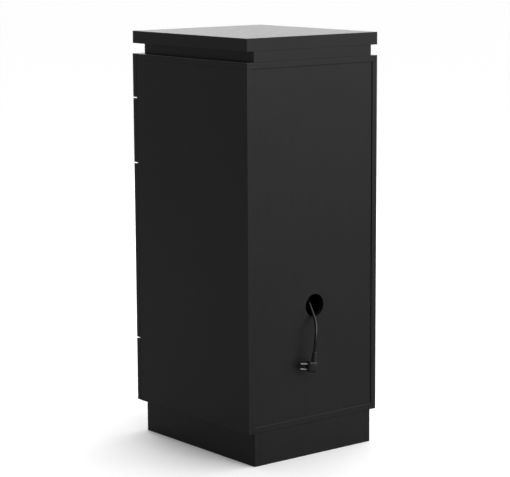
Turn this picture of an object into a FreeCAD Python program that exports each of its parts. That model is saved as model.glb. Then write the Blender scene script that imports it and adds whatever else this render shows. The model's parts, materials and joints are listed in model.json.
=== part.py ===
"""Tower cabinet with three drawers and a hinged door over an ultraviolet steriliser compartment.

Frame: millimetres, +Z up from the floor, the fronts face -Y, the back board faces +Y.
The origin is on the floor, at the centre of the footprint measured from handles to back.
"""
import FreeCAD, Part
import math
import os
import re
import Sketcher

DIMENSIONS = {
    # the whole cabinet
    "width": 396, "depth": 450, "height": 1000, "board": 15, "edge_break": 0.5,
    "slab": 30, "slab_setback": 3, "neck": 25, "neck_side_inset": 20, "neck_front_inset": 24,
    "plinth": 80, "plinth_side_inset": 18, "plinth_back_inset": 1, "back_recess": 2,
    "cable_hole": 55, "cable_hole_level": 362.5, "cable_hole_offset": 4,
    # overlay fronts
    "front_gap": 3, "front_clearance": 2, "side_reveal": 1, "small_front": 106, "large_front": 157,
    # bar pulls
    "handle_reach": 28, "handle_bar": 10, "handle_post": 8, "handle_length": 160, "post_spacing": 128,
    "door_handle_inset": 34,
    # drawer boxes and their three-part runners
    "box_board": 12, "box_floor": 6, "box_length": 350, "box_lift": 18, "box_under_front": 44,
    "floor_lift": 5, "runner_space": 13, "runner_sheet": 1.2, "runner_length": 340,
    "outer_rail": 35, "outer_rail_depth": 10, "middle_rail": 30.4, "middle_rail_depth": 9,
    "middle_rail_inset": 2, "inner_rail": 25.8, "inner_rail_depth": 8.8,
    # cam fittings of the board joints
    "cam_radius": 7.5, "cam_depth": 12, "cam_play": 0.1, "cam_end": 34, "cam_edge": 50,
    # concealed hinges and magnetic catch
    "cup_radius": 17.5, "cup_depth": 11, "cup_wall": 1.2, "cup_play": 0.1, "cup_edge": 24,
    "hinge_inset": 90, "hinge_wing": 52, "hinge_wing_width": 16, "plate_length": 45,
    "plate_height": 32, "plate_thickness": 3, "arm_width": 11, "arm_height": 18, "arm_reach": 5,
    "arm_length": 80, "catch_width": 40, "catch_depth": 14, "catch_height": 12, "catch_inset": 30,
    "strike_thickness": 1.5,
    # wire racks and their pins
    "rack_rod": 5, "rack_wire": 3, "rack_overlap": 0.8, "rack_play": 2, "rack_front": 8,
    "lower_rack_level": 382, "upper_rack_level": 505, "lower_rack_depth": 370,
    "upper_rack_depth": 292, "pin_radius": 2.5, "pin_reach": 9, "pin_bore": 10, "pin_inset": 40,
    # lamp housing under the upper shelf
    "lamp_length": 310, "lamp_depth": 100, "lamp_height": 45, "lamp_front": 124, "lamp_sheet": 1.2,
    "tube_radius": 8, "tube_length": 288, "tube_spacing": 40, "tube_drop": 34,
    "holder_thickness": 9, "holder_depth": 60, "reflector_length": 280, "reflector_width": 90,
    "reflector_height": 22, "reflector_sheet": 0.8, "reflector_drop": 20, "ballast_length": 150,
    "ballast_depth": 35, "ballast_height": 15, "switch_width": 21, "switch_height": 14,
    "bezel_rim": 2.5, "bezel_thickness": 1.5, "rocker_play": 0.5, "switch_offset": 110,
    "switch_drop": 30,
    # mains cord, its gland and its plug
    "cord": 6.6, "gland_offset": 82, "gland_drop": 22, "gland_flange": 8, "gland_root": 6,
    "gland_tip": 4.3, "gland_length": 32, "coil_inner": 28, "coil_outer": 48.5, "coil_height": 13.6,
    "plug_depth": 21.5, "plug_width": 24, "plug_height": 25.5, "plug_round": 4, "relief_length": 22.5,
    "relief_root": 7, "relief_tip": 4.8, "relief_offset": 4.25, "blade_length": 17.5, "blade_width": 6.3,
    "blade_thickness": 1.5, "blade_spacing": 12.7, "blade_hole": 1.6,
}

COIL_CENTRE = (38.0, 158.0)
PLUG_FOOT = (25.7, 259.0, 210.1)
PLUG_TILT = (-0.05, 0.09)
PLUG_TURN = -21.0
ROCKER_TILT = 7.0

# The cord from the gland down to the coil, and from the coil over the hole's lower edge to the plug.
DROP_ROUTE = [
    (82.0, 62.0, 648.0), (82.3, 84.0, 645.5), (83.0, 101.5, 632.0), (84.5, 112.0, 611.0),
    (86.0, 117.0, 577.0), (86.5, 118.5, 522.0), (85.5, 117.5, 472.0), (82.0, 115.5, 437.0),
    (72.0, 113.5, 411.0), (56.0, 113.0, 396.5), (34.0, 113.8, 392.5),
]
OUTLET_ROUTE = [
    (-6.6, 158.0, 396.5), (-6.2, 184.0, 396.5), (-3.4, 203.0, 386.4), (-0.6, 218.5, 371.2),
    (1.6, 235.0, 347.7), (5.2, 250.5, 329.3), (10.5, 260.0, 312.9), (15.4, 265.0, 295.0),
    (18.5, 266.4, 275.8), (19.35, 264.8, 257.8),
]

document = FreeCAD.newDocument("SteriliserCabinet")
sheet = document.addObject("Spreadsheet::Sheet", "Dimensions")
for row, (alias, number) in enumerate(DIMENSIONS.items(), start=1):
    sheet.set(f"A{row}", alias)
    sheet.set(f"B{row}", str(number))
    sheet.setAlias(f"B{row}", alias)
document.recompute()

# Planes and levels that many pieces share, as expressions over the sheet.
FACE = "(handle_reach - depth) / 2"
BACK = "(handle_reach + depth) / 2"
EDGE = f"({FACE} + board + front_clearance)"
INSIDE = "(width / 2 - board)"
BACK_BOARD = f"({BACK} - back_recess - board)"
NECK_BASE = "(height - slab - neck)"
CARCASS_ROOF = f"({NECK_BASE} - board)"
LOW_GAP = "(plinth + large_front + front_gap / 2)"
TOP_GAP = f"({NECK_BASE} - small_front - front_gap / 2)"
HIGH_GAP = f"({TOP_GAP} - large_front - front_gap)"
CHAMBER_FLOOR = f"({LOW_GAP} + board / 2)"
CHAMBER_ROOF = f"({HIGH_GAP} - board / 2)"
LAMP_FRONT = f"({EDGE} + lamp_front)"
LAMP_BACK = f"({LAMP_FRONT} + lamp_depth)"

pieces = []


def on_sheet(text):
    """Point every dimension name of an expression at its cell in the sheet."""
    return re.sub(r"[a-z_]+", lambda word: "Dimensions." + word.group(), text)


def size(text):
    """Work out an expression over the sheet as a number."""
    return float(sheet.evalExpression(text))


def bind(item, path, text):
    item.setExpression(path, on_sheet(text))


def place(item, corner, rotation=None):
    """Put an object at three expressions, and turn it by a fixed rotation."""
    if rotation is not None:
        item.Placement = FreeCAD.Placement(FreeCAD.Vector(), rotation)
    for axis, text in zip("xyz", corner):
        bind(item, f"Placement.Base.{axis}", text)
    return item


def finished(item, name):
    """Name a sub-part and put it on the list of those that are written out."""
    item.Label = name
    pieces.append(item)
    return item


def new_body(label):
    body = document.addObject("PartDesign::Body", "Body")
    body.Label = label
    return body


def new_sketch(body, plane, offset="0"):
    """A sketch on one of the body's own origin planes, moved along its normal."""
    sketch = body.newObject("Sketcher::SketchObject", "Sketch")
    support = [item for item in body.Origin.OriginFeatures if item.Role == plane][0]
    sketch.AttachmentSupport = [(support, "")]
    sketch.MapMode = "FlatFace"
    bind(sketch, "AttachmentOffset.Base.z", offset)
    return sketch


def constrain(sketch, kind, text, *where):
    """A dimension of the sketch that follows an expression."""
    index = sketch.addConstraint(Sketcher.Constraint(kind, *where, size(text)))
    bind(sketch, f"Constraints[{index}]", text)


def draw_outline(sketch, corners):
    """A closed outline through corners given as pairs of expressions."""
    points = [FreeCAD.Vector(size(across), size(along), 0) for across, along in corners]
    first = sketch.GeometryCount
    count = len(points)
    for index, point in enumerate(points):
        sketch.addGeometry(Part.LineSegment(point, points[(index + 1) % count]), False)
    for index, (across, along) in enumerate(corners):
        line = first + index
        following = first + (index + 1) % count
        sketch.addConstraint(Sketcher.Constraint("Coincident", line, 2, following, 1))
        constrain(sketch, "DistanceX", across, -1, 1, line, 1)
        constrain(sketch, "DistanceY", along, -1, 1, line, 1)


def rectangle(across, along):
    return [("0", "0"), (across, "0"), (across, along), ("0", along)]


def draw_circles(sketch, centres, radius):
    for across, along in centres:
        centre = FreeCAD.Vector(size(across), size(along), 0)
        index = sketch.addGeometry(Part.Circle(centre, FreeCAD.Vector(0, 0, 1), size(radius)), False)
        constrain(sketch, "Radius", radius, index)
        constrain(sketch, "DistanceX", across, -1, 1, index, 3)
        constrain(sketch, "DistanceY", along, -1, 1, index, 3)


def pad(body, sketch, length, backwards=False):
    feature = body.newObject("PartDesign::Pad", "Pad")
    feature.Profile = sketch
    bind(feature, "Length", length)
    feature.Reversed = backwards
    document.recompute()
    return feature


def pocket(body, sketch, length, backwards=False):
    """Cut a pocket, and make sure that it has taken material away."""
    before = body.Shape.Volume
    feature = body.newObject("PartDesign::Pocket", "Pocket")
    feature.Profile = sketch
    bind(feature, "Length", length)
    feature.Reversed = backwards
    document.recompute()
    if body.Shape.Volume > before - 1:
        raise RuntimeError(f"a pocket of {body.Label} cuts nothing")
    return feature


def break_edges(body, feature, amount="edge_break"):
    chamfer = body.newObject("PartDesign::Chamfer", "Chamfer")
    chamfer.Base = (feature, [])
    chamfer.UseAllEdges = True
    bind(chamfer, "Size", amount)
    document.recompute()


def board(name, x, y, z, broken=True, listed=True):
    """A rectangular panel between pairs of expressions, with its edges lightly broken."""
    body = new_body(name)
    sketch = new_sketch(body, "XY_Plane")
    draw_outline(sketch, rectangle(f"({x[1]}) - ({x[0]})", f"({y[1]}) - ({y[0]})"))
    feature = pad(body, sketch, f"({z[1]}) - ({z[0]})")
    if broken:
        break_edges(body, feature)
    place(body, (x[0], y[0], z[0]))
    return finished(body, name) if listed else body


def extrusion(label, plane, corners, length, corner, backwards=False):
    """A straight profile: an outline on one plane, drawn out to a length."""
    body = new_body(label)
    sketch = new_sketch(body, plane)
    draw_outline(sketch, corners)
    pad(body, sketch, length, backwards)
    return place(body, corner)


def cylinder(label, radius, length, corner, rotation=None):
    item = document.addObject("Part::Cylinder", "Cylinder")
    item.Label = label
    bind(item, "Radius", radius)
    bind(item, "Height", length)
    return place(item, corner, rotation)


def block(label, x, y, z):
    item = document.addObject("Part::Box", "Block")
    item.Label = label
    for path, span in (("Length", x), ("Width", y), ("Height", z)):
        bind(item, path, f"({span[1]}) - ({span[0]})")
    return place(item, (x[0], y[0], z[0]))


def mirrored(item, label):
    """The same piece on the other side of the cabinet's middle plane."""
    mirror = document.addObject("Part::Mirroring", "Mirror")
    mirror.Label = label
    mirror.Source = item
    mirror.Normal = (1, 0, 0)
    return mirror


def group(name, members):
    """Separate solids that share one node."""
    compound = document.addObject("Part::Compound", "Group")
    compound.Links = members
    return finished(compound, name)


def fused(members, label):
    union = document.addObject("Part::MultiFuse", "Union")
    union.Shapes = members
    union.Label = label
    return union


def cut(base, tool, label):
    difference = document.addObject("Part::Cut", "Difference")
    difference.Base = base
    difference.Tool = tool
    difference.Label = label
    return difference


ALONG_X = FreeCAD.Rotation(FreeCAD.Vector(0, 1, 0), 90)
ALONG_Y = FreeCAD.Rotation(FreeCAD.Vector(1, 0, 0), -90)


# Carcass -------------------------------------------------------------------------------------------

def make_top():
    side = "(width / 2 - neck_side_inset)"
    front = f"({FACE} + neck_front_inset)"
    levels = (NECK_BASE, "height - slab")
    board("top_slab", ("-width / 2", "width / 2"), (f"{FACE} + slab_setback", BACK),
          ("height - slab", "height"))
    board("neck_front_rail", (f"-{side}", side), (front, f"{front} + board"), levels)
    board("neck_back_rail", (f"-{side}", side), (f"{BACK} - board", BACK), levels)
    left = board("neck_left_rail", (f"-{side}", f"-{side} + board"),
                 (f"{front} + board", f"{BACK} - board"), levels, listed=False)
    group("neck_side_rails", [left, mirrored(left, "neck_right_rail")])


def rack_pin_heights():
    """Heights of the pin axes of the two racks above the floor."""
    return [f"{level} - rack_rod / 2 - pin_radius" for level in ("lower_rack_level", "upper_rack_level")]


def rack_pin_places(depth):
    """Distances of a rack's two pins behind the carcass front."""
    return ["rack_front + pin_inset", f"rack_front + {depth} - pin_inset"]


def make_sides():
    levels = ("plinth", CARCASS_ROOF)
    left = board("left_side_panel", ("-width / 2", f"-{INSIDE}"), (EDGE, BACK), levels)
    bores = new_sketch(left, "YZ_Plane", "board")
    centres = []
    for height, depth in zip(rack_pin_heights(), ("lower_rack_depth", "upper_rack_depth")):
        centres += [(place_y, f"{height} - plinth") for place_y in rack_pin_places(depth)]
    draw_circles(bores, centres, "pin_radius")
    pocket(left, bores, "pin_bore")
    finished(mirrored(left, "right_side_panel"), "right_side_panel")


def cam_pockets(body):
    """Round pockets for the cam fittings in the underside of a board between the sides."""
    sketch = new_sketch(body, "XY_Plane")
    far = f"{BACK_BOARD} - ({EDGE}) - cam_edge"
    width = f"(2 * {INSIDE})"
    centres = [(x, y) for x in ("cam_end", f"{width} - cam_end") for y in ("cam_edge", far)]
    draw_circles(sketch, centres, "cam_radius + cam_play")
    pocket(body, sketch, "cam_depth", backwards=True)


def make_boards():
    board("carcass_top", ("-width / 2", "width / 2"), (EDGE, BACK), (CARCASS_ROOF, NECK_BASE))
    cams = []
    stack = (("bottom_board", "plinth", BACK), ("lower_shelf", f"({LOW_GAP} - board / 2)", BACK_BOARD),
             ("upper_shelf", f"({HIGH_GAP} - board / 2)", BACK_BOARD))
    for name, level, rear in stack:
        body = board(name, (f"-{INSIDE}", INSIDE), (EDGE, rear), (level, f"{level} + board"))
        cam_pockets(body)
        for x in (f"-{INSIDE} + cam_end", f"{INSIDE} - cam_end"):
            for y in (f"{EDGE} + cam_edge", f"{BACK_BOARD} - cam_edge"):
                cams.append(cylinder("cam", "cam_radius", "cam_depth", (x, y, level)))
    group("cam_fittings", cams)


def make_back_panel():
    body = board("back_panel", (f"-{INSIDE}", INSIDE), (BACK_BOARD, f"{BACK_BOARD} + board"),
                 ("plinth + board", CARCASS_ROOF))
    hole = new_sketch(body, "XZ_Plane")
    centre = (f"{INSIDE} - cable_hole_offset", "cable_hole_level - plinth - board")
    draw_circles(hole, [centre], "cable_hole / 2")
    pocket(body, hole, "board")


def make_plinth():
    side = "(width / 2 - plinth_side_inset)"
    inner = f"({side} - board)"
    rear = f"({BACK} - plinth_back_inset)"
    levels = ("0", "plinth")
    board("plinth_front", (f"-{inner}", inner), (EDGE, f"{EDGE} + board"), levels)
    board("plinth_back", (f"-{inner}", inner), (f"{rear} - board", rear), levels)
    left = board("plinth_left", (f"-{side}", f"-{inner}"), (EDGE, rear), levels, listed=False)
    group("plinth_sides", [left, mirrored(left, "plinth_right")])


# Pulls, drawers and runners ------------------------------------------------------------------------

def handle(name, x, z, upright):
    """A round bar on two posts, standing off a front."""
    bar_y = f"({FACE} - handle_reach + handle_bar / 2)"
    start = (x, bar_y, f"{z} - handle_length / 2") if upright else (f"{x} - handle_length / 2", bar_y, z)
    solids = [cylinder("bar", "handle_bar / 2", "handle_length", start, None if upright else ALONG_X)]
    for sign in "-+":
        shift = f"{sign} post_spacing / 2"
        spot = (x, bar_y, f"{z} {shift}") if upright else (f"{x} {shift}", bar_y, z)
        reach = "handle_reach - handle_bar / 2"
        solids.append(cylinder("post", "handle_post / 2", reach, spot, ALONG_Y))
    finished(fused(solids, name), name)


def channel(label, depth, height, corner, opens_inward):
    """A C-shaped runner rail, its open side towards the middle of the cabinet or away from it."""
    sheet_in = f"{depth} - runner_sheet"
    top = f"{height} - runner_sheet"
    if opens_inward:
        corners = [("0", "0"), (depth, "0"), (depth, "runner_sheet"), ("runner_sheet", "runner_sheet"),
                   ("runner_sheet", top), (depth, top), (depth, height), ("0", height)]
    else:
        corners = [("0", "0"), (depth, "0"), (depth, height), ("0", height), ("0", top),
                   (sheet_in, top), (sheet_in, "runner_sheet"), ("0", "runner_sheet")]
    return extrusion(label, "XZ_Plane", corners, "runner_length", corner, backwards=True)


def runner_pair(label, depth, height, inset, middle, opens_inward):
    """A left rail and its mirror image, centred on a height."""
    corner = (f"-{INSIDE} + {inset}", EDGE, f"{middle} - {height} / 2")
    left = channel(f"{label}_left", depth, height, corner, opens_inward)
    return [left, mirrored(left, f"{label}_right")]


def make_drawer(name, level, front_height):
    """One drawer; returns the rails of its runners that stay on the cabinet."""
    half = "(width / 2 - side_reveal)"
    outer = f"({INSIDE} - runner_space)"
    inner = f"({outer} - box_board)"
    start = f"({FACE} + board)"
    end = f"({start} + box_length)"
    base = f"({level} + box_lift)"
    box_height = f"({front_height} - box_under_front)"
    levels = (base, f"{base} + {box_height}")
    board(f"{name}_front", (f"-{half}", half), (FACE, start), (level, f"{level} + {front_height}"))
    handle(f"{name}_handle", "0", f"({level} + {front_height} / 2)", upright=False)
    left = board(f"{name}_box_left", (f"-{outer}", f"-{inner}"), (start, end), levels, listed=False)
    group(f"{name}_box_sides", [left, mirrored(left, f"{name}_box_right")])
    ends = [board(f"{name}_box_end", (f"-{inner}", inner), span, levels, listed=False)
            for span in ((start, f"{start} + box_board"), (f"{end} - box_board", end))]
    group(f"{name}_box_ends", ends)
    board(f"{name}_box_floor", (f"-{inner}", inner), (f"{start} + box_board", f"{end} - box_board"),
          (f"{base} + floor_lift", f"{base} + floor_lift + box_floor"), broken=False)
    middle = f"({base} + {box_height} / 2)"
    inset = "runner_space - inner_rail_depth"
    group(f"{name}_inner_rails",
          runner_pair("inner", "inner_rail_depth", "inner_rail", inset, middle, opens_inward=False))
    group(f"{name}_middle_rails",
          runner_pair("middle", "middle_rail_depth", "middle_rail", "middle_rail_inset", middle, True))
    return runner_pair("outer", "outer_rail_depth", "outer_rail", "0", middle, True)


def make_drawers():
    outer_rails = make_drawer("bottom_drawer", "plinth", "large_front")
    outer_rails += make_drawer("middle_drawer", f"({HIGH_GAP} + front_gap / 2)", "large_front")
    outer_rails += make_drawer("top_drawer", f"({TOP_GAP} + front_gap / 2)", "small_front")
    group("cabinet_rails", outer_rails)


# Door ----------------------------------------------------------------------------------------------

def hinge_levels():
    low = f"({LOW_GAP} + front_gap / 2 + hinge_inset)"
    high = f"({HIGH_GAP} - front_gap / 2 - hinge_inset)"
    return [low, high]


def make_door():
    half = "(width / 2 - side_reveal)"
    base = f"({LOW_GAP} + front_gap / 2)"
    door = board("door_panel", (f"-{half}", half), (FACE, f"{FACE} + board"),
                 (base, f"{HIGH_GAP} - front_gap / 2"))
    cups = new_sketch(door, "XZ_Plane", "-board")
    draw_circles(cups, [("cup_edge", f"{level} - {base}") for level in hinge_levels()],
                 "cup_radius + cup_play")
    pocket(door, cups, "cup_depth + cup_play", backwards=True)
    handle("door_handle", f"(width / 2 - door_handle_inset)", f"({LOW_GAP} / 2 + {HIGH_GAP} / 2)",
           upright=True)


def hinge_cup(level):
    """A round cup sunk in the door, with a screw wing above and below it."""
    x = "(-width / 2 + side_reveal + cup_edge)"
    face = f"({FACE} + board)"
    shell = cylinder("cup_shell", "cup_radius", "cup_depth + cup_wall",
                     (x, f"{face} - cup_depth", level), ALONG_Y)
    wing = block("cup_wing", (f"{x} - hinge_wing_width / 2", f"{x} + hinge_wing_width / 2"),
                 (face, f"{face} + cup_wall"), (f"{level} - hinge_wing / 2", f"{level} + hinge_wing / 2"))
    hollow = cylinder("cup_hollow", "cup_radius - cup_wall", "cup_depth + cup_wall",
                      (x, f"{face} - cup_depth + cup_wall", level), ALONG_Y)
    return cut(fused([shell, wing], "cup_with_wing"), hollow, "hinge_cup")


def hinge_arm(level):
    """A plate screwed to the side panel, with the arm that reaches forward into the cup."""
    wall = f"(-{INSIDE})"
    front = f"({EDGE} - arm_reach)"
    plate = block("plate", (wall, f"{wall} + plate_thickness"),
                  (f"{EDGE} + plate_length / 2", f"{EDGE} + 3 * plate_length / 2"),
                  (f"{level} - plate_height / 2", f"{level} + plate_height / 2"))
    arm = block("arm", (f"{wall} + plate_thickness", f"{wall} + plate_thickness + arm_width"),
                (front, f"{front} + arm_length"),
                (f"{level} - arm_height / 2", f"{level} + arm_height / 2"))
    return fused([plate, arm], "hinge_arm")


def make_hinges_and_catch():
    group("hinge_cups", [hinge_cup(level) for level in hinge_levels()])
    group("hinge_arms", [hinge_arm(level) for level in hinge_levels()])
    x = (f"{INSIDE} - catch_inset - catch_width", f"{INSIDE} - catch_inset")
    levels = (f"{CHAMBER_ROOF} - catch_height", CHAMBER_ROOF)
    board("catch_magnet", x, (EDGE, f"{EDGE} + catch_depth"), levels)
    door_back = f"({FACE} + board)"
    board("catch_strike", x, (door_back, f"{door_back} + strike_thickness"), levels, broken=False)


# Steriliser compartment ----------------------------------------------------------------------------

def make_rack(name, level, depth):
    """A rack of rods round the edge and thinner wires from front to back on top of them."""
    reach = f"({INSIDE} - rack_play - rack_rod / 2)"
    front = f"({EDGE} + rack_front)"
    back = f"({front} + {depth})"
    rods = [cylinder("rod", "rack_rod / 2", depth, (x, front, level), ALONG_Y)
            for x in (f"-{reach}", reach)]
    rods += [cylinder("rod", "rack_rod / 2", f"2 * {reach}", (f"-{reach}", y, level), ALONG_X)
             for y in (f"{front} + rack_rod", f"({front} + {back}) / 2", f"{back} - rack_rod")]
    height = f"{level} + rack_rod / 2 + rack_wire / 2 - rack_overlap"
    spaces = 15
    for index in range(1, spaces):
        x = f"{reach} * {2 * index - spaces} / {spaces}"
        rods.append(cylinder("wire", "rack_wire / 2", depth, (x, front, height), ALONG_Y))
    finished(fused(rods, name), name)


def make_racks():
    make_rack("lower_rack", "lower_rack_level", "lower_rack_depth")
    make_rack("upper_rack", "upper_rack_level", "upper_rack_depth")
    pins = []
    for height, depth in zip(rack_pin_heights(), ("lower_rack_depth", "upper_rack_depth")):
        for y in rack_pin_places(depth):
            pin = cylinder("pin", "pin_radius", "pin_bore + pin_reach",
                           (f"-{INSIDE} - pin_bore", f"{EDGE} + {y}", height), ALONG_X)
            pins += [pin, mirrored(pin, "pin_opposite")]
    group("rack_pins", pins)


def make_lamp_housing():
    """A sheet-metal tray, open below, with a window for the switch in its front wall."""
    body = board("lamp_housing", ("-lamp_length / 2", "lamp_length / 2"), (LAMP_FRONT, LAMP_BACK),
                 (f"{CHAMBER_ROOF} - lamp_height", CHAMBER_ROOF), broken=False)
    hollow = new_sketch(body, "XY_Plane")
    across = "lamp_length - lamp_sheet"
    along = "lamp_depth - lamp_sheet"
    draw_outline(hollow, [("lamp_sheet", "lamp_sheet"), (across, "lamp_sheet"), (across, along),
                          ("lamp_sheet", along)])
    pocket(body, hollow, "lamp_height - lamp_sheet", backwards=True)
    window = new_sketch(body, "XZ_Plane")
    low = "lamp_height - switch_drop"
    left = "(lamp_length / 2 + switch_offset - switch_width / 2)"
    draw_outline(window, [(left, low), (f"{left} + switch_width", low),
                          (f"{left} + switch_width", f"{low} + switch_height"),
                          (left, f"{low} + switch_height")])
    pocket(body, window, "lamp_sheet")


def make_lamp_insides():
    middle = f"({LAMP_FRONT} + lamp_depth / 2)"
    roof = f"({CHAMBER_ROOF} - lamp_sheet)"
    board("lamp_ballast", ("-ballast_length / 2", "ballast_length / 2"),
          (f"{middle} - ballast_depth / 2", f"{middle} + ballast_depth / 2"),
          (f"{roof} - ballast_height", roof))
    bend = "reflector_width / 6"
    top = "reflector_height - reflector_sheet"
    corners = [("0", "0"), ("1.2 * reflector_sheet", "0"), (f"{bend} + 0.6 * reflector_sheet", top),
               (f"reflector_width - {bend} - 0.6 * reflector_sheet", top),
               ("reflector_width - 1.2 * reflector_sheet", "0"), ("reflector_width", "0"),
               (f"reflector_width - {bend}", "reflector_height"), (bend, "reflector_height")]
    base = f"{CHAMBER_ROOF} - reflector_drop - reflector_height"
    reflector = extrusion("lamp_reflector", "YZ_Plane", corners, "reflector_length",
                          ("-reflector_length / 2", f"{middle} - reflector_width / 2", base))
    finished(reflector, "lamp_reflector")
    holder = board("holder_left", ("-tube_length / 2 - holder_thickness", "-tube_length / 2"),
                   (f"{middle} - holder_depth / 2", f"{middle} + holder_depth / 2"),
                   (f"{CHAMBER_ROOF} - lamp_height + 2 * lamp_sheet", roof), listed=False)
    group("lamp_holders", [holder, mirrored(holder, "holder_right")])
    tubes = [cylinder("tube", "tube_radius", "tube_length",
                      ("-tube_length / 2", f"{middle} {sign} tube_spacing / 2",
                       f"{CHAMBER_ROOF} - tube_drop"), ALONG_X) for sign in "-+"]
    group("uv_tubes", tubes)


def make_switch():
    """A rocker in a bezel on the front wall of the lamp housing, drawn in its off position."""
    left = "(switch_offset - switch_width / 2)"
    right = "(switch_offset + switch_width / 2)"
    low = f"({CHAMBER_ROOF} - switch_drop)"
    high = f"({low} + switch_height)"
    rim = block("bezel_rim", (f"{left} - bezel_rim", f"{right} + bezel_rim"),
                (f"{LAMP_FRONT} - bezel_thickness", LAMP_FRONT),
                (f"{low} - bezel_rim", f"{high} + bezel_rim"))
    window = block("bezel_window", (left, right), (f"{LAMP_FRONT} - 2 * bezel_thickness", LAMP_FRONT),
                   (low, high))
    finished(cut(rim, window, "switch_bezel"), "switch_bezel")
    rocker = new_body("rocker_switch")
    sketch = new_sketch(rocker, "YZ_Plane")
    play = "rocker_play"
    draw_outline(sketch, [("0", "0"), ("bezel_thickness * 3", "0"),
                          ("bezel_thickness * 3", f"switch_height - 6 * {play}"),
                          ("0", f"switch_height - 6 * {play}")])
    feature = pad(rocker, sketch, f"switch_width - 2 * {play}")
    break_edges(rocker, feature)
    turn = FreeCAD.Rotation(FreeCAD.Vector(1, 0, 0), ROCKER_TILT)
    place(rocker, (f"{left} + {play}", f"{LAMP_FRONT} - bezel_thickness * 1.4",
                   f"{low} + 3 * {play}"), turn)
    finished(rocker, "rocker_switch")


# Mains cord ----------------------------------------------------------------------------------------

def cone(label, root, tip, length, corner, rotation=None):
    item = document.addObject("Part::Cone", "Cone")
    item.Label = label
    bind(item, "Radius1", root)
    bind(item, "Radius2", tip)
    bind(item, "Height", length)
    return place(item, corner, rotation)


def make_gland():
    x = "gland_offset"
    z = f"({CHAMBER_ROOF} - gland_drop)"
    flange = cylinder("gland_flange", "gland_flange", "lamp_sheet * 2", (x, LAMP_BACK, z), ALONG_Y)
    sleeve = cone("gland_sleeve", "gland_root", "gland_tip", "gland_length", (x, LAMP_BACK, z), ALONG_Y)
    finished(fused([flange, sleeve], "cord_gland"), "cord_gland")


def rounded_path(points):
    """Straight runs joined by tangent arcs, each as large as its two runs allow."""
    share = 0.45
    edges = []
    start = points[0]
    for before, corner, after in zip(points, points[1:], points[2:]):
        incoming = (corner - before).normalize()
        outgoing = (after - corner).normalize()
        turn = incoming.getAngle(outgoing)
        tangent = share * min((corner - before).Length, (after - corner).Length)
        radius = tangent / math.tan(turn / 2)
        first = corner - incoming * tangent
        last = corner + outgoing * tangent
        inward = (outgoing - incoming).normalize()
        centre = corner + inward * (radius / math.cos(turn / 2))
        middle = centre - inward * radius
        edges.append(Part.LineSegment(start, first).toShape())
        edges.append(Part.Arc(first, middle, last).toShape())
        print(f"  radius {radius:.1f} at {tuple(round(value, 1) for value in corner)}")
        start = last
    edges.append(Part.LineSegment(start, points[-1]).toShape())
    return Part.Wire(edges)


def make_tube(name, route):
    """A stretch of cord along its route, as one round tube."""
    points = [FreeCAD.Vector(*point) for point in route]
    path = rounded_path(points)
    radius = size("cord") / 2
    section = Part.Wire(Part.makeCircle(radius, points[0], points[1] - points[0]))
    solid = Part.Solid(path.makePipeShell([section], True, False))
    share = solid.Volume / (math.pi * radius ** 2 * path.Length)
    print(f"{name}: length {path.Length:.1f} mm, volume against section times length {share:.4f}")
    item = document.addObject("Part::Feature", name)
    item.Shape = solid
    item.Placement = FreeCAD.Placement()
    return finished(item, name)


def make_coil():
    """The outer shape of the spare turns, which lie on the lower rack behind the tools."""
    level = "(lower_rack_level + rack_rod / 2 + rack_wire - rack_overlap)"
    centre = [str(value) for value in COIL_CENTRE]
    outer = cylinder("coil_outer", "coil_outer", "coil_height", (*centre, level))
    inner = cylinder("coil_inner", "coil_inner", "coil_height", (*centre, level))
    finished(cut(outer, inner, "cord_coil"), "cord_coil")


def make_plug():
    """A right-angle plug that hangs by its cord, with two flat blades that point sideways."""
    body = block("plug_block", ("-plug_depth / 2", "plug_depth / 2"),
                 ("-plug_width / 2", "plug_width / 2"), ("0", "plug_height"))
    document.recompute()
    softened = document.addObject("Part::Fillet", "SoftBlock")
    softened.Base = body
    rounding = size("plug_round")
    softened.Edges = [(index + 1, rounding, rounding) for index in range(len(body.Shape.Edges))]
    relief = cone("plug_relief", "relief_root", "relief_tip", "relief_length + plug_round",
                  ("-relief_offset", "0", "plug_height - plug_round"))
    moulding = fused([softened, relief], "plug_body")
    blades = []
    for sign in "-+":
        middle = f"(plug_height / 2 {sign} blade_spacing / 2)"
        flat = block("blade", ("plug_depth / 2", "plug_depth / 2 + blade_length"),
                     ("-blade_width / 2", "blade_width / 2"),
                     (f"{middle} - blade_thickness / 2", f"{middle} + blade_thickness / 2"))
        hole = cylinder("blade_hole", "blade_hole", "blade_thickness",
                        ("plug_depth / 2 + blade_length - blade_width / 2", "0",
                         f"{middle} - blade_thickness / 2"))
        blades.append(cut(flat, hole, "drilled_blade"))
    turn = FreeCAD.Rotation(FreeCAD.Vector(0, 0, 1), FreeCAD.Vector(*PLUG_TILT, 1.0))
    turn = turn.multiply(FreeCAD.Rotation(FreeCAD.Vector(0, 0, 1), PLUG_TURN))
    spot = FreeCAD.Placement(FreeCAD.Vector(*PLUG_FOOT), turn)
    for item in (finished(moulding, "plug_body"), group("plug_blades", blades)):
        item.Placement = spot


# Assembly and output -------------------------------------------------------------------------------

def check_and_write():
    document.recompute()
    for item in document.Objects:
        faults = {"Invalid", "Error"} & set(item.State)
        if faults:
            raise RuntimeError(f"{item.Label} has failed: {faults}")
    os.makedirs("parts", exist_ok=True)
    for item in pieces:
        shape = item.Shape
        if shape.isNull() or not shape.isValid() or not shape.Solids:
            raise RuntimeError(f"{item.Label} is not a sound solid")
        shape.exportStep(f"parts/{item.Label}.step")
    print(len(pieces), "sub-parts written")


make_top()
make_sides()
make_boards()
make_back_panel()
make_plinth()
make_drawers()
make_door()
make_hinges_and_catch()
make_racks()
make_lamp_housing()
make_lamp_insides()
make_switch()
make_gland()
make_tube("cord_drop", DROP_ROUTE)
make_coil()
make_tube("cord_outlet", OUTLET_ROUTE)
make_plug()
check_and_write()
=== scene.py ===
import json
import math

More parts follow.
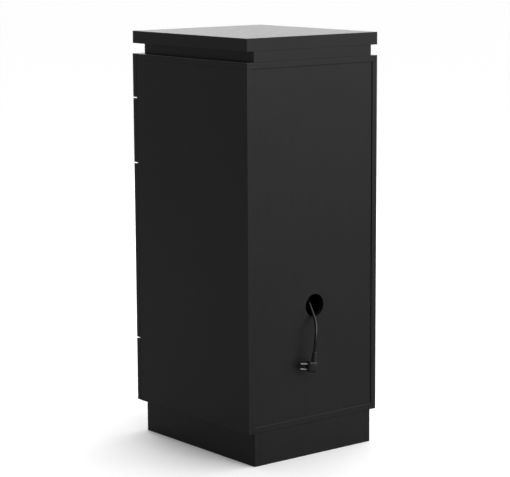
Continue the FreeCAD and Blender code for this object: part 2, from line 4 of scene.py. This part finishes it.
import bmesh
import bpy
from mathutils import Matrix, Vector


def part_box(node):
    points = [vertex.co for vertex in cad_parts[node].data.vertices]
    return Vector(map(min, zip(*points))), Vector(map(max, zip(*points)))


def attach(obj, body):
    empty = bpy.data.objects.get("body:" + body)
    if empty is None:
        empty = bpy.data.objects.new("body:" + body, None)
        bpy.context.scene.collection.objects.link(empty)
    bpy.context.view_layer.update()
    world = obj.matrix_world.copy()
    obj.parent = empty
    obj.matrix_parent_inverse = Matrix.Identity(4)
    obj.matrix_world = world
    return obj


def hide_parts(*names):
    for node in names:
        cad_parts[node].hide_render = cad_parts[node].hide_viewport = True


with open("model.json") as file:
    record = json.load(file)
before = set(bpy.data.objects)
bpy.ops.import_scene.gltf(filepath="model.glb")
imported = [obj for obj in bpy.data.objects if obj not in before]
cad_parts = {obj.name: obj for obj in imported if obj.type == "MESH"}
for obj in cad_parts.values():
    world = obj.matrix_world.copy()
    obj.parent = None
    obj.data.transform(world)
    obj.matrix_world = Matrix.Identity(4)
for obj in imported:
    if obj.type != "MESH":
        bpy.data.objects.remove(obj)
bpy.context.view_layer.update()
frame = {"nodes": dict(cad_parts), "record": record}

MM = 0.001
TURN = 2 * math.pi
NOISE_LOW, NOISE_HIGH = 0.3, 0.7       # nearly all values of a noise lie between these


# Camera --------------------------------------------------------------------------------------------

def make_camera():
    """Stands behind the cabinet on its right-hand side, a little above the top slab."""
    sensor = 36.0
    focal_share = 3.739          # focal length over the picture's width
    place = (2.8629, 3.6165, 1.2572)
    azimuth, elevation, roll = (math.radians(angle) for angle in (141.505, 9.406, 0.295))
    data = bpy.data.cameras.new("camera")
    data.sensor_width = sensor
    data.lens = sensor * focal_share
    camera = bpy.data.objects.new("camera", data)
    bpy.context.scene.collection.objects.link(camera)
    bpy.context.scene.camera = camera
    back = Vector((math.sin(azimuth) * math.cos(elevation),
                   -math.cos(azimuth) * math.cos(elevation), math.sin(elevation)))
    level_right = Vector((math.cos(azimuth), math.sin(azimuth), 0))
    level_up = back.cross(level_right)
    right = level_right * math.cos(roll) - level_up * math.sin(roll)
    up = level_up * math.cos(roll) + level_right * math.sin(roll)
    turn = Matrix((right, up, back)).transposed().to_4x4()
    camera.matrix_world = Matrix.Translation(place) @ turn


make_camera()


# Materials -----------------------------------------------------------------------------------------

class Surface:
    """A Principled material whose colour, roughness and relief come from noise in object space."""

    def __init__(self, name, **sockets):
        self.material = bpy.data.materials.new(name)
        self.material.use_nodes = True
        self.nodes = self.material.node_tree.nodes
        self.links = self.material.node_tree.links
        self.shader = self.nodes["Principled BSDF"]
        self.place = self.nodes.new("ShaderNodeTexCoord").outputs["Object"]
        self.height = None
        for label, value in sockets.items():
            self.shader.inputs[label.replace("_", " ")].default_value = value

    def noise(self, scale, detail, stretch=(1, 1, 1)):
        """Noise with about `scale` features to the metre, finer along the axes that are stretched."""
        mapping = self.nodes.new("ShaderNodeMapping")
        mapping.inputs["Scale"].default_value = stretch
        self.links.new(self.place, mapping.inputs["Vector"])
        texture = self.nodes.new("ShaderNodeTexNoise")
        texture.inputs["Scale"].default_value = scale
        texture.inputs["Detail"].default_value = detail
        self.links.new(mapping.outputs["Vector"], texture.inputs["Vector"])
        return texture.outputs["Fac"]

    def colour(self, value, dark, light):
        """Let a noise move the base colour between two colours."""
        ramp = self.nodes.new("ShaderNodeValToRGB")
        stops = ((NOISE_LOW, dark), (NOISE_HIGH, light))
        for element, (position, shade) in zip(ramp.color_ramp.elements, stops):
            element.position = position
            element.color = (*shade, 1)
        self.links.new(value, ramp.inputs["Fac"])
        self.links.new(ramp.outputs["Color"], self.shader.inputs["Base Color"])
        return self

    def roughness(self, value, low, high):
        """Let a noise move the roughness between two numbers."""
        spread = self.nodes.new("ShaderNodeMapRange")
        spread.inputs["From Min"].default_value = NOISE_LOW
        spread.inputs["From Max"].default_value = NOISE_HIGH
        spread.inputs["To Min"].default_value = low
        spread.inputs["To Max"].default_value = high
        self.links.new(value, spread.inputs["Value"])
        self.links.new(spread.outputs["Result"], self.shader.inputs["Roughness"])
        return self

    def relief(self, value, depth, strength):
        """Add one layer of bump, `depth` metres high."""
        bump = self.nodes.new("ShaderNodeBump")
        bump.inputs["Distance"].default_value = depth
        bump.inputs["Strength"].default_value = strength
        self.links.new(value, bump.inputs["Height"])
        if self.height is not None:
            self.links.new(self.height, bump.inputs["Normal"])
        self.height = bump.outputs["Normal"]
        self.links.new(self.height, self.shader.inputs["Normal"])
        return self


def black_melamine():
    """Pressed black board: fine pearl relief, faint clouding and slight uneven gloss."""
    surface = Surface("black_melamine", IOR=1.47)
    surface.colour(surface.noise(7, 4), (0.0098, 0.0098, 0.0102), (0.0118, 0.0118, 0.0122))
    surface.roughness(surface.noise(55, 5), 0.31, 0.37)
    surface.relief(surface.noise(1500, 2), 0.00004, 0.35)
    return surface.relief(surface.noise(24, 2), 0.0001, 0.10)


def grey_melamine():
    """The pale grey board of the drawer boxes, printed with a fine linen grain."""
    surface = Surface("drawer_melamine", IOR=1.47)
    linen = surface.noise(900, 2, (1, 0.15, 1))
    surface.colour(surface.noise(30, 4), (0.50, 0.50, 0.49), (0.60, 0.60, 0.585))
    surface.roughness(linen, 0.36, 0.48)
    return surface.relief(linen, 0.00005, 0.4)


def drawn_metal(name, dark, light, low, high, stretch):
    """Bare metal with fine lines along the way it was drawn or brushed."""
    surface = Surface(name, Metallic=1.0)
    lines = surface.noise(60, 4, stretch)
    surface.colour(lines, dark, light)
    surface.roughness(surface.noise(90, 5, stretch), low, high)
    return surface.relief(lines, 0.00002, 0.3)


def zinc_steel():
    """Zinc-plated sheet: cool grey with soft spangles."""
    surface = Surface("zinc_steel", Metallic=1.0)
    surface.colour(surface.noise(160, 4), (0.42, 0.44, 0.46), (0.62, 0.64, 0.66))
    surface.roughness(surface.noise(240, 3), 0.26, 0.42)
    return surface.relief(surface.noise(420, 2), 0.00002, 0.3)


def chrome():
    """Bright plated wire, a little uneven in its gloss."""
    surface = Surface("chrome_wire", Metallic=1.0)
    surface.colour(surface.noise(90, 3), (0.72, 0.73, 0.75), (0.82, 0.83, 0.84))
    surface.roughness(surface.noise(300, 3), 0.06, 0.16)
    return surface.relief(surface.noise(500, 2), 0.00001, 0.2)


def enamel():
    """White baked enamel with slight orange peel."""
    surface = Surface("white_enamel", IOR=1.5, Coat_Weight=0.3)
    surface.colour(surface.noise(40, 4), (0.72, 0.72, 0.70), (0.80, 0.80, 0.785))
    surface.roughness(surface.noise(120, 4), 0.24, 0.34)
    return surface.relief(surface.noise(700, 2), 0.00003, 0.35)


def moulded(name, dark, light, low, high, grain=1800):
    """Moulded plastic or rubber with a fine spark-eroded grain."""
    surface = Surface(name, IOR=1.5)
    surface.colour(surface.noise(80, 4), dark, light)
    surface.roughness(surface.noise(260, 4), low, high)
    return surface.relief(surface.noise(grain, 2), 0.00003, 0.4)


def tube_glass():
    """Clear quartz glass, faintly streaked."""
    surface = Surface("tube_glass", IOR=1.46, Transmission_Weight=0.92)
    surface.colour(surface.noise(30, 3), (0.90, 0.94, 0.97), (0.97, 0.99, 1.0))
    surface.roughness(surface.noise(60, 3), 0.02, 0.07)
    return surface.relief(surface.noise(120, 2), 0.00001, 0.2)


SURFACES = {
    "black_melamine": black_melamine(),
    "drawer_melamine": grey_melamine(),
    "zinc_steel": zinc_steel(),
    "satin_nickel": drawn_metal("satin_nickel", (0.50, 0.49, 0.47), (0.66, 0.65, 0.62), 0.22, 0.34,
                                (1, 40, 40)),
    "chrome_wire": chrome(),
    "white_enamel": enamel(),
    "bright_aluminium": drawn_metal("bright_aluminium", (0.74, 0.75, 0.77), (0.86, 0.87, 0.88),
                                    0.08, 0.18, (1, 60, 60)),
    "white_plastic": moulded("white_plastic", (0.70, 0.70, 0.67), (0.80, 0.80, 0.77), 0.28, 0.40),
    "tube_glass": tube_glass(),
    "black_plastic": moulded("black_plastic", (0.012, 0.012, 0.012), (0.022, 0.022, 0.022),
                             0.30, 0.44),
    "cord_pvc": moulded("cord_pvc", (0.0035, 0.0035, 0.0035), (0.0070, 0.0070, 0.0070),
                        0.20, 0.30, 900),
    "moulded_pvc": moulded("moulded_pvc", (0.006, 0.006, 0.006), (0.011, 0.011, 0.011), 0.44, 0.58),
    "nickel_brass": drawn_metal("nickel_brass", (0.78, 0.77, 0.73), (0.92, 0.91, 0.88), 0.24, 0.36,
                                (1, 40, 1)),
}


def dress_cad_nodes():
    """Give every CAD node the finished material of its slot."""
    for entry in frame["record"]["subparts"]:
        node = frame["nodes"][entry["node"]]
        node.data.materials.clear()
        node.data.materials.append(SURFACES[entry["material_slot"]].material)


dress_cad_nodes()


# Mesh helpers --------------------------------------------------------------------------------------

def span(node):
    """The lowest and highest corners of a CAD node."""
    low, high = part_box(node)
    return Vector(low), Vector(high)


def piece(name, build, slot, replaces=(), surface=None, smooth=40):
    """Put a finished shape on the carcass, in its slot's surface unless another is named."""
    mesh = to_mesh(name, build, smooth)
    item = bpy.data.objects.new(name, mesh)
    bpy.context.scene.collection.objects.link(item)
    mesh.materials.append(SURFACES[surface or slot].material)
    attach(item, "carcass")
    if replaces:
        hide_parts(*replaces)
    return item


def to_mesh(name, build, smooth):
    """Turn a bmesh into a mesh, smooth except at edges sharper than an angle in degrees."""
    bmesh.ops.recalc_face_normals(build, faces=build.faces)
    limit = math.radians(smooth)
    for face in build.faces:
        face.smooth = True
    for edge in build.edges:
        edge.smooth = len(edge.link_faces) == 2 and edge.calc_face_angle() < limit
    mesh = bpy.data.meshes.new(name)
    build.to_mesh(mesh)
    build.free()
    return mesh


def add_lathe(build, profile, place, segments):
    """Turn a profile of (radius, height) points about the local Z axis of a placement."""
    rings = []
    for radius, height in profile:
        ring = []
        for step in range(segments if radius else 1):
            angle = TURN * step / segments
            spot = Vector((radius * math.cos(angle), radius * math.sin(angle), height))
            ring.append(build.verts.new(place @ spot))
        rings.append(ring)
    for below, above in zip(rings, rings[1:]):
        for step in range(segments):
            after = (step + 1) % segments
            if len(below) == 1:
                build.faces.new((below[0], above[after], above[step]))
            elif len(above) == 1:
                build.faces.new((below[step], below[after], above[0]))
            else:
                build.faces.new((below[step], below[after], above[after], above[step]))


def rounded_profile(radius, low, high, bevel, steps=4):
    """A solid cylinder's profile with rounded rims."""
    core, start, stop = radius - bevel, low + bevel, high - bevel
    angles = [TURN / 4 * step / steps for step in range(steps + 1)]
    lower = [(core + bevel * math.sin(angle), start - bevel * math.cos(angle)) for angle in angles]
    upper = [(core + bevel * math.cos(angle), stop + bevel * math.sin(angle)) for angle in angles]
    return [(0.0, low), *lower, *upper, (0.0, high)]


def add_block(build, low, high, bevel, place, segments=3):
    """A box with rounded edges."""
    low, high = Vector(low), Vector(high)
    made = bmesh.ops.create_cube(build, size=1.0)
    centre, size = (low + high) / 2, high - low
    for vert in made["verts"]:
        vert.co = centre + Vector(a * b for a, b in zip(vert.co, size))
    edges = {edge for vert in made["verts"] for edge in vert.link_edges}
    done = bmesh.ops.bevel(build, geom=list(edges), offset=bevel, segments=segments, profile=0.5,
                           affect="EDGES", clamp_overlap=True)
    verts = {vert for face in done["faces"] for vert in face.verts} | {
        vert for vert in made["verts"] if vert.is_valid}
    for vert in verts:
        vert.co = place @ vert.co


def facing(direction, at):
    """A placement whose local Z points along a direction."""
    return Matrix.Translation(at) @ Vector(direction).to_track_quat("Z", "Y").to_matrix().to_4x4()


def add_screw_head(build, at, direction, radius, height):
    """A pan head with a round recess, sunk a little into the sheet that it holds."""
    sunk, recess, steps = 0.3 * MM, 0.3 * radius, 6
    angles = [TURN / 4 * step / steps for step in range(steps)]
    dome = [(radius * math.cos(angle), height * math.sin(angle)) for angle in angles]
    profile = [(0.0, -sunk), (radius, -sunk), *dome,
               (recess * 1.2, height), (recess, height * 0.4), (0.0, height * 0.3)]
    add_lathe(build, profile, facing(direction, at), 20)


# Cord ----------------------------------------------------------------------------------------------

CORD = 6.6 * MM
COIL_CENTRE = (38.0, 158.0)
DROP_ROUTE = [
    (82.0, 62.0, 648.0), (82.3, 84.0, 645.5), (83.0, 101.5, 632.0), (84.5, 112.0, 611.0),
    (86.0, 117.0, 577.0), (86.5, 118.5, 522.0), (85.5, 117.5, 472.0), (82.0, 115.5, 437.0),
    (72.0, 113.5, 411.0), (56.0, 113.0, 396.5),
]
OUTLET_ROUTE = [
    (-6.2, 184.0, 396.5), (-3.4, 203.0, 386.4), (-0.6, 218.5, 371.2), (1.6, 235.0, 347.7),
    (5.2, 250.5, 329.3), (10.5, 260.0, 312.9), (15.4, 265.0, 295.0), (18.5, 266.4, 275.8),
    (19.35, 264.8, 256.5),
]


def coil_route():
    """Spare turns wound inwards along the rack, and outwards again on top of themselves."""
    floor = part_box("cord_coil")[0][2] / MM + CORD / MM / 2
    pitch = CORD / MM + 0.15
    outer = 44.8
    enters, leaves, whole_turns = 262, 180, 4        # clockwise, the first two in degrees
    start = math.radians(enters)
    swept = math.radians(enters - leaves) + whole_turns * TURN
    per_turn = 14
    steps = round(swept / TURN * per_turn)
    climb, climb_length, innermost_length = 2.05, 0.3, 0.25        # in turns
    points = []
    for step in range(steps + 1):
        turns = swept / TURN * step / steps
        angle = start - turns * TURN
        rise = min(max((turns - climb) / climb_length, 0.0), 1.0)
        outward = max(turns - climb - innermost_length, 0)
        inward = turns if turns < climb else climb - outward
        radius = outer - pitch * inward
        height = floor + pitch * rise * rise * (3 - 2 * rise)
        points.append((COIL_CENTRE[0] + radius * math.cos(angle),
                       COIL_CENTRE[1] + radius * math.sin(angle), height))
    return points


def make_cord():
    """The mains cord, one smooth line from the gland through the coil to the plug."""
    route = DROP_ROUTE + coil_route() + OUTLET_ROUTE
    curve = bpy.data.curves.new("mains_cord", "CURVE")
    curve.dimensions = "3D"
    curve.bevel_depth = CORD / 2
    curve.bevel_resolution = 5
    curve.resolution_u = 6
    curve.use_fill_caps = True
    spline = curve.splines.new("NURBS")
    spline.points.add(len(route) - 1)
    for point, spot in zip(spline.points, route):
        point.co = (*(Vector(spot) * MM), 1)
    spline.order_u = 3
    spline.use_endpoint_u = True
    cord = bpy.data.objects.new("mains_cord", curve)
    bpy.context.scene.collection.objects.link(cord)
    curve.materials.append(SURFACES["cord_pvc"].material)
    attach(cord, "carcass")
    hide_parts("cord_drop", "cord_coil", "cord_outlet")
    return cord


PLUG_FOOT = (25.7, 259.0, 210.1)
PLUG_UP = (-0.05, 0.09, 1.0)
PLUG_TURN = -21.0


def plug_place():
    """The plug hangs tilted a little off upright, and turned so that its blades point sideways."""
    upright = Vector((0, 0, 1)).rotation_difference(Vector(PLUG_UP)).to_matrix().to_4x4()
    return (Matrix.Translation(Vector(PLUG_FOOT) * MM) @ upright
            @ Matrix.Rotation(math.radians(PLUG_TURN), 4, "Z"))


def ribbed_sleeve(root, tip, low, high, ribs):
    """The profile of a strain relief: a taper cut by grooves."""
    groove, rim = 0.8 * MM, 0.5 * MM
    first_rib, ribbed = 0.06, 0.86        # shares of the length
    rib_shape = ((0.0, 0), (0.50, 0), (0.58, groove), (0.92, groove), (1.0, 0))
    length = high - low
    pitch = length * ribbed / ribs
    profile = [(0.0, low), (root, low)]
    for rib in range(ribs):
        base = low + length * first_rib + rib * pitch
        for share, cut_in in rib_shape:
            height = base + pitch * share
            radius = root + (tip - root) * (height - low) / length
            profile.append((radius - cut_in, height))
    return profile + [(tip, high - rim), (tip - rim, high), (0.0, high)]


def make_plug():
    """The moulded right-angle body with its grip ribs and strain relief, and the two blades."""
    place = plug_place()
    half, wide, tall = 10.75 * MM, 12 * MM, 25.5 * MM
    round_off, small_round = 4 * MM, 0.5 * MM
    blade_spacing, relief_offset, relief_top = 12.7 * MM, 4.25 * MM, 48 * MM
    moulding = bmesh.new()
    add_block(moulding, (-half, -wide, 0), (half, wide, tall), round_off, place, 5)
    add_block(moulding, (half - 1.2 * MM, -9 * MM, 3.2 * MM), (half + 0.3 * MM, 9 * MM, 22.3 * MM),
              small_round, place)
    for side in (-wide, wide):
        for rib in range(4):
            low = (6.6 + rib * 3.4) * MM
            add_block(moulding, (-6.5 * MM, side - 0.6 * MM, low),
                      (5.5 * MM, side + 0.6 * MM, low + 1.7 * MM), small_round, place)
    neck = place @ Matrix.Translation((-relief_offset, 0, 0))
    sleeve = ribbed_sleeve(7 * MM, 4.8 * MM, tall - round_off, relief_top, 5)
    add_lathe(moulding, sleeve, neck, 28)
    blades = bmesh.new()
    for level in ((tall - blade_spacing) / 2, (tall + blade_spacing) / 2):
        add_blade(blades, place @ Matrix.Translation((half, 0, level)))
    return [piece("plug_moulding", moulding, "cord_pvc", ["plug_body"], "moulded_pvc"),
            piece("plug_pins", blades, "nickel_brass", ["plug_blades"], smooth=25)]


def add_blade(build, place):
    """A flat contact blade with cut corners, broken edges and a round hole near its tip."""
    half, length, thick = 3.15 * MM, 17.5 * MM, 0.75 * MM        # half the width and thickness
    hole, edge, corner = 1.6 * MM, 0.25 * MM, 1.4 * MM
    middle = length - half
    side = [(0.0, half), (middle / 2, half), (middle - hole, half), (middle, half),
            (length - corner, half), (length - 0.4 * corner, half - 0.4 * corner),
            (length, half - corner)]
    outline = [(x, -y) for x, y in side] + [(length, 0.0)] + side[::-1] + [(0.0, 0.0)]
    angles = [math.atan2(y, x - middle) for x, y in outline]
    ring = [(middle + hole * math.cos(angle), hole * math.sin(angle)) for angle in angles]
    drawn_in = [(x - edge * (x - middle) / (length - middle) * (x > middle), y * (1 - edge / half))
                for x, y in outline]
    rows = [(ring, thick), (drawn_in, thick), (outline, thick - edge), (outline, edge - thick),
            (drawn_in, -thick), (ring, -thick)]
    made = [[build.verts.new(place @ Vector((x, y, z))) for x, y in points] for points, z in rows]
    made.append(made[0])
    for below, above in zip(made, made[1:]):
        for step in range(len(outline)):
            after = (step + 1) % len(outline)
            build.faces.new((below[step], below[after], above[after], above[step]))


def make_gland():
    """A hexagonal nut and a ribbed sleeve, where the cord leaves the lamp housing."""
    low, high = span("cord_gland")
    middle = Vector(((low.x + high.x) / 2, low.y, (low.z + high.z) / 2))
    place = facing((0, 1, 0), middle)
    build = bmesh.new()
    add_lathe(build, rounded_profile(8 * MM, 0, 2.4 * MM, 0.6 * MM), place, 6)
    add_lathe(build, ribbed_sleeve(6 * MM, 4.3 * MM, 1 * MM, high.y - low.y, 6), place, 28)
    return piece("gland_sleeve", build, "cord_pvc", ["cord_gland"], "moulded_pvc")


cord = make_cord()
gland = make_gland()
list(make_plug())


# Fittings ------------------------------------------------------------------------------------------

def add_lamp_end(metal, wire, base, radius, cap):
    """A crimped metal cap, and the cathode that stands on two stems inside the glass."""
    crimp = radius - 0.6 * MM
    shell = [(0, 0), (radius - 0.8 * MM, 0), (radius, 0.8 * MM), (radius, 9 * MM), (crimp, 9.8 * MM),
             (crimp, 11 * MM), (radius, 11.8 * MM), (radius, cap - 0.4 * MM),
             (radius - 0.4 * MM, cap), (0, cap)]
    add_lathe(metal, shell, base, 36)
    for side in (-3 * MM, 3 * MM):
        stem = base @ Matrix.Translation((0, side, cap - 1 * MM))
        add_lathe(wire, rounded_profile(0.5 * MM, 0, 12 * MM, 0.2 * MM, 2), stem, 8)
    beads = 7
    for index in range(beads):
        bead = base @ Matrix.Translation((0, (index - beads // 2) * MM, cap + 10.5 * MM))
        add_lathe(wire, rounded_profile(0.9 * MM, -0.4 * MM, 0.4 * MM, 0.3 * MM, 2), bead, 10)


def make_tubes():
    """Two unlit germicidal lamps: clear tubes, metal caps and cathodes."""
    low, high = span("uv_tubes")
    radius = (high.z - low.z) / 2
    level = (high.z + low.z) / 2
    length = high.x - low.x
    cap, overlap = 15 * MM, 2 * MM
    outer = radius - 0.5 * MM
    inner = outer - 0.8 * MM
    first, last = cap - overlap, length - cap + overlap
    wall = [(outer, first), (outer, last), (inner, last), (inner, first), (outer, first)]
    glass, metal, wire = bmesh.new(), bmesh.new(), bmesh.new()
    for y in (low.y + radius, high.y - radius):
        add_lathe(glass, wall, facing((1, 0, 0), (low.x, y, level)), 36)
        for end, sense in ((low.x, 1), (high.x, -1)):
            add_lamp_end(metal, wire, facing((sense, 0, 0), (end, y, level)), radius, cap)
    piece("lamp_glass", glass, "tube_glass", ["uv_tubes"])
    piece("lamp_caps", metal, "bright_aluminium")
    piece("lamp_cathodes", wire, "nickel_brass")


def make_screws():
    """Screw heads that hold the lamp housing's front and back walls."""
    low, high = span("lamp_housing")
    from_end, below_top = 14 * MM, 9 * MM
    build = bmesh.new()
    for x in (low.x + from_end, 0, high.x - from_end):
        for y, outward in ((low.y, -1), (high.y, 1)):
            spot = (x, y, high.z - below_top)
            add_screw_head(build, spot, (0, outward, 0), 2.6 * MM, 1.4 * MM)
    piece("lamp_screws", build, "zinc_steel")


make_tubes()
make_screws()


# Stage ---------------------------------------------------------------------------------------------

def make_floor():
    """A wide floor that looks near white and throws less light back at the cabinet than it would."""
    build = bmesh.new()
    reach = 60.0
    corners = [(-reach, -reach), (reach, -reach), (reach, reach), (-reach, reach)]
    build.faces.new([build.verts.new((x, y, 0)) for x, y in corners])
    mesh = bpy.data.meshes.new("floor")
    build.to_mesh(mesh)
    build.free()
    floor = bpy.data.objects.new("floor", mesh)
    bpy.context.scene.collection.objects.link(floor)
    material = bpy.data.materials.new("floor")
    material.use_nodes = True
    tree = material.node_tree
    shader = tree.nodes["Principled BSDF"]
    shader.inputs["Roughness"].default_value = 0.9
    shader.inputs["Specular IOR Level"].default_value = 0.0
    shader.inputs["Emission Color"].default_value = (1, 1, 1, 1)
    shader.inputs["Emission Strength"].default_value = 0.07
    path = tree.nodes.new("ShaderNodeLightPath")
    mix = tree.nodes.new("ShaderNodeMix")
    mix.data_type = "RGBA"
    mix.inputs["A"].default_value = (0.13, 0.13, 0.13, 1)
    mix.inputs["B"].default_value = (0.97, 0.97, 0.97, 1)
    tree.links.new(path.outputs["Is Camera Ray"], mix.inputs["Factor"])
    tree.links.new(mix.outputs["Result"], shader.inputs["Base Color"])
    mesh.materials.append(material)


def make_sky():
    """Even light all round, brighter towards the cabinet's left and dimmer towards its right."""
    world = bpy.data.worlds.new("studio")
    bpy.context.scene.world = world
    world.use_nodes = True
    tree = world.node_tree
    background = tree.nodes["Background"]
    place = tree.nodes.new("ShaderNodeTexCoord")
    dot = tree.nodes.new("ShaderNodeVectorMath")
    dot.operation = "DOT_PRODUCT"
    dot.inputs[1].default_value = Vector((-1.0, 0.05, 0.1)).normalized()
    tree.links.new(place.outputs["Generated"], dot.inputs[0])
    spread = tree.nodes.new("ShaderNodeMapRange")
    spread.inputs["From Min"].default_value = -0.7
    spread.inputs["From Max"].default_value = 0.65
    spread.inputs["To Min"].default_value = 0.10
    spread.inputs["To Max"].default_value = 1.62
    tree.links.new(dot.outputs["Value"], spread.inputs["Value"])
    path = tree.nodes.new("ShaderNodeLightPath")
    choose = tree.nodes.new("ShaderNodeMix")
    choose.data_type = "FLOAT"
    choose.inputs["B"].default_value = 1.0
    tree.links.new(path.outputs["Is Camera Ray"], choose.inputs["Factor"])
    tree.links.new(spread.outputs["Result"], choose.inputs["A"])
    tree.links.new(choose.outputs["Result"], background.inputs["Strength"])
    background.inputs["Color"].default_value = (1, 1, 1, 1)


def add_softbox(name, at, aim, size, power):
    """A square lamp that faces a point, its size in metres and its power in watts."""
    data = bpy.data.lights.new(name, "AREA")
    data.shape = "RECTANGLE"
    data.size, data.size_y = size
    data.energy = power
    lamp = bpy.data.objects.new(name, data)
    bpy.context.scene.collection.objects.link(lamp)
    lamp.location = at
    lamp.rotation_mode = "QUATERNION"
    lamp.rotation_quaternion = (Vector(aim) - Vector(at)).to_track_quat("-Z", "Y")


def make_lights():
    add_softbox("key", (-0.9, 4.8, 2.9), (0, 0.2, 0.4), (1.6, 1.6), 54)
    add_softbox("front", (-1.2, -4.6, 2.4), (0, -0.2, 0.5), (2.4, 2.4), 80)
    add_softbox("top", (-0.8, -0.2, 4.2), (0, 0, 0), (3.0, 3.0), 50)


make_floor()
make_sky()
make_lights()
bpy.context.scene.view_settings.view_transform = "Standard"
